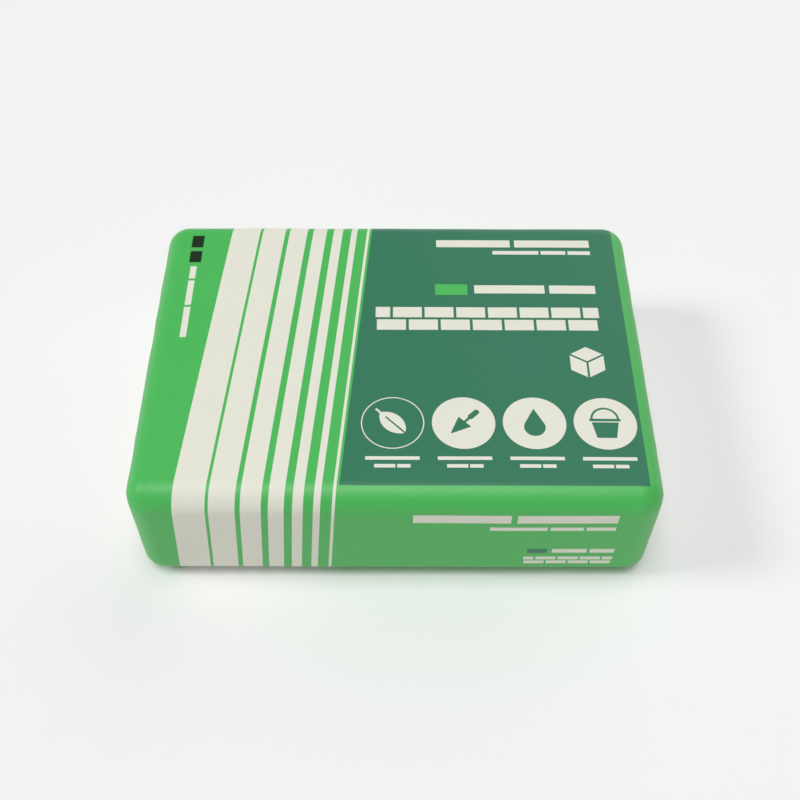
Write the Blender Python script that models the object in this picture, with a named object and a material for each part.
"""A filled paper sack of cement, lying on one of its two broad faces.

Metres, +Z up. The origin is the middle of the underside. X runs along the sack, Y across it
and Z up through its thickness. The sack is a tube of paper whose two ends, at -X and +X, are
folded flat and closed by a pasted patch each. It was filled through a valve, a flat sleeve of
paper that lies inside the +X end and comes out at that end's back corner.
"""

import bmesh
import bpy
from mathutils import Vector

# Outer size of the filled sack, without its patches, and the radius of its rounded folds
LENGTH = 0.415
WIDTH = 0.302
HEIGHT = 0.116
FOLD_RADIUS = 0.0195
FOLD_SEGMENTS = 8

# The wall of the sack is three plies of kraft paper, and a patch or sleeve is two
SACK_PAPER = 0.0004
THIN_PAPER = 0.0003

# Clearance between pieces that touch on the real sack
GAP = 0.0003

# The patch on each end, which just reaches round the long folds
PATCH_WIDTH = 0.250
PATCH_HEIGHT = 0.084

# The valve sleeve is a flattened tube, and its mouth stands out of the corner's curve
SLEEVE_OUTER_X = LENGTH / 2 - 0.0010
SLEEVE_THICKNESS = 0.0012
SLEEVE_HEIGHT = 0.074
SLEEVE_INNER_Y = 0.022
SLEEVE_MOUTH_Y = 0.143

# Cutters run this far past what they cut
OVERRUN = 0.010

PRINTED_GREEN = (0.102, 0.503, 0.116, 1.0)
OFF_WHITE = (0.760, 0.740, 0.650, 1.0)
CEMENT_GREY = (0.320, 0.315, 0.300, 1.0)


def clear_scene():
    for obj in list(bpy.data.objects):
        bpy.data.objects.remove(obj)


def matte_material(name, colour, roughness):
    """Paper or powder, with no metal in it."""
    material = bpy.data.materials.new(name)
    material.use_nodes = True
    material.diffuse_color = colour
    shader = material.node_tree.nodes["Principled BSDF"]
    shader.inputs["Base Color"].default_value = colour
    shader.inputs["Roughness"].default_value = roughness
    shader.inputs["Metallic"].default_value = 0.0
    return material


def box(name, low, high, material=None):
    """A box between two opposite corners, in world coordinates."""
    low = Vector(low)
    high = Vector(high)
    shape = bmesh.new()
    bmesh.ops.create_cube(shape, size=1.0)
    bmesh.ops.scale(shape, vec=high - low, verts=shape.verts)
    bmesh.ops.translate(shape, vec=(low + high) / 2, verts=shape.verts)
    mesh = bpy.data.meshes.new(name)
    shape.to_mesh(mesh)
    shape.free()
    if material:
        mesh.materials.append(material)
    obj = bpy.data.objects.new(name, mesh)
    bpy.context.scene.collection.objects.link(obj)
    return obj


def rounded_box(name, offset, material):
    """The outside of the filled sack, moved outwards by offset, with every edge rolled over."""
    half_length = LENGTH / 2 + offset
    half_width = WIDTH / 2 + offset
    low = (-half_length, -half_width, -offset)
    high = (half_length, half_width, HEIGHT + offset)
    obj = box(name, low, high, material)
    obj.data.shade_smooth()
    folds = obj.modifiers.new("Folds", "BEVEL")
    folds.width = FOLD_RADIUS + offset
    folds.segments = FOLD_SEGMENTS
    folds.limit_method = "NONE"
    return obj


def hollow_out(obj, wall, side):
    """Turns a solid shape into a skin. side is 1 to add the wall outside, -1 to keep it inside."""
    skin = obj.modifiers.new("Wall", "SOLIDIFY")
    skin.thickness = wall
    skin.offset = side
    skin.use_even_offset = True


def combine(obj, operation, cutter):
    """Cuts obj by a helper object, which is no piece of the sack."""
    cutter.hide_render = True
    cutter.display_type = "WIRE"
    modifier = obj.modifiers.new(cutter.name, "BOOLEAN")
    modifier.operation = operation
    modifier.object = cutter


def sleeve_space(name, inner_y, outer_y, grow=0.0, outer_x=SLEEVE_OUTER_X, material=None):
    """The upright slab that the valve sleeve takes, grown in X and Z."""
    inner_x = SLEEVE_OUTER_X - SLEEVE_THICKNESS
    half_height = SLEEVE_HEIGHT / 2 + grow
    low = (inner_x - grow, inner_y, HEIGHT / 2 - half_height)
    high = (outer_x + grow, outer_y, HEIGHT / 2 + half_height)
    return box(name, low, high, material)


def make_paper_sack(paper):
    """The folded tube of printed paper, with a slit at one corner for the valve sleeve."""
    sack = rounded_box("paper_sack", 0.0, paper)
    hollow_out(sack, SACK_PAPER, -1)
    curve_start_y = WIDTH / 2 - FOLD_RADIUS
    combine(sack, "DIFFERENCE", sleeve_space("slit_cutter", curve_start_y, WIDTH / 2, GAP))


def make_cement_fill(cement):
    """The cement fills the paper, and the sleeve has pressed a shallow bed into it."""
    fill = rounded_box("cement_fill", -SACK_PAPER - GAP, cement)
    bed_start_y = SLEEVE_INNER_Y - GAP
    bed = sleeve_space("sleeve_bed_cutter", bed_start_y, WIDTH / 2, GAP, outer_x=LENGTH / 2)
    combine(fill, "DIFFERENCE", bed)


def make_valve_sleeve(paper):
    """A flattened paper tube, open at its mouth and at its inner end."""
    sleeve = sleeve_space("valve_sleeve", SLEEVE_INNER_Y, SLEEVE_MOUTH_Y, material=paper)
    bore_start = SLEEVE_INNER_Y - OVERRUN
    bore_end = SLEEVE_MOUTH_Y + OVERRUN
    combine(sleeve, "DIFFERENCE", sleeve_space("bore_cutter", bore_start, bore_end, -THIN_PAPER))


def make_end_patch(name, side, paper):
    """The patch on the -X end where side is -1, and on the +X end where it is 1."""
    patch = rounded_box(name, GAP, paper)
    hollow_out(patch, THIN_PAPER, 1)
    near_x = side * (LENGTH / 2 - FOLD_RADIUS / 2)
    far_x = side * (LENGTH / 2 + OVERRUN)
    low = (min(near_x, far_x), -PATCH_WIDTH / 2, HEIGHT / 2 - PATCH_HEIGHT / 2)
    high = (max(near_x, far_x), PATCH_WIDTH / 2, HEIGHT / 2 + PATCH_HEIGHT / 2)
    combine(patch, "INTERSECT", box(name + "_cutter", low, high))


def main():
    clear_scene()
    printed_paper = matte_material("printed_paper", PRINTED_GREEN, 0.45)
    plain_paper = matte_material("plain_paper", OFF_WHITE, 0.70)
    cement = matte_material("cement", CEMENT_GREY, 0.95)
    make_paper_sack(printed_paper)
    make_cement_fill(cement)
    make_valve_sleeve(plain_paper)
    make_end_patch("end_patch_left", -1, plain_paper)
    make_end_patch("end_patch_right", 1, plain_paper)


main()
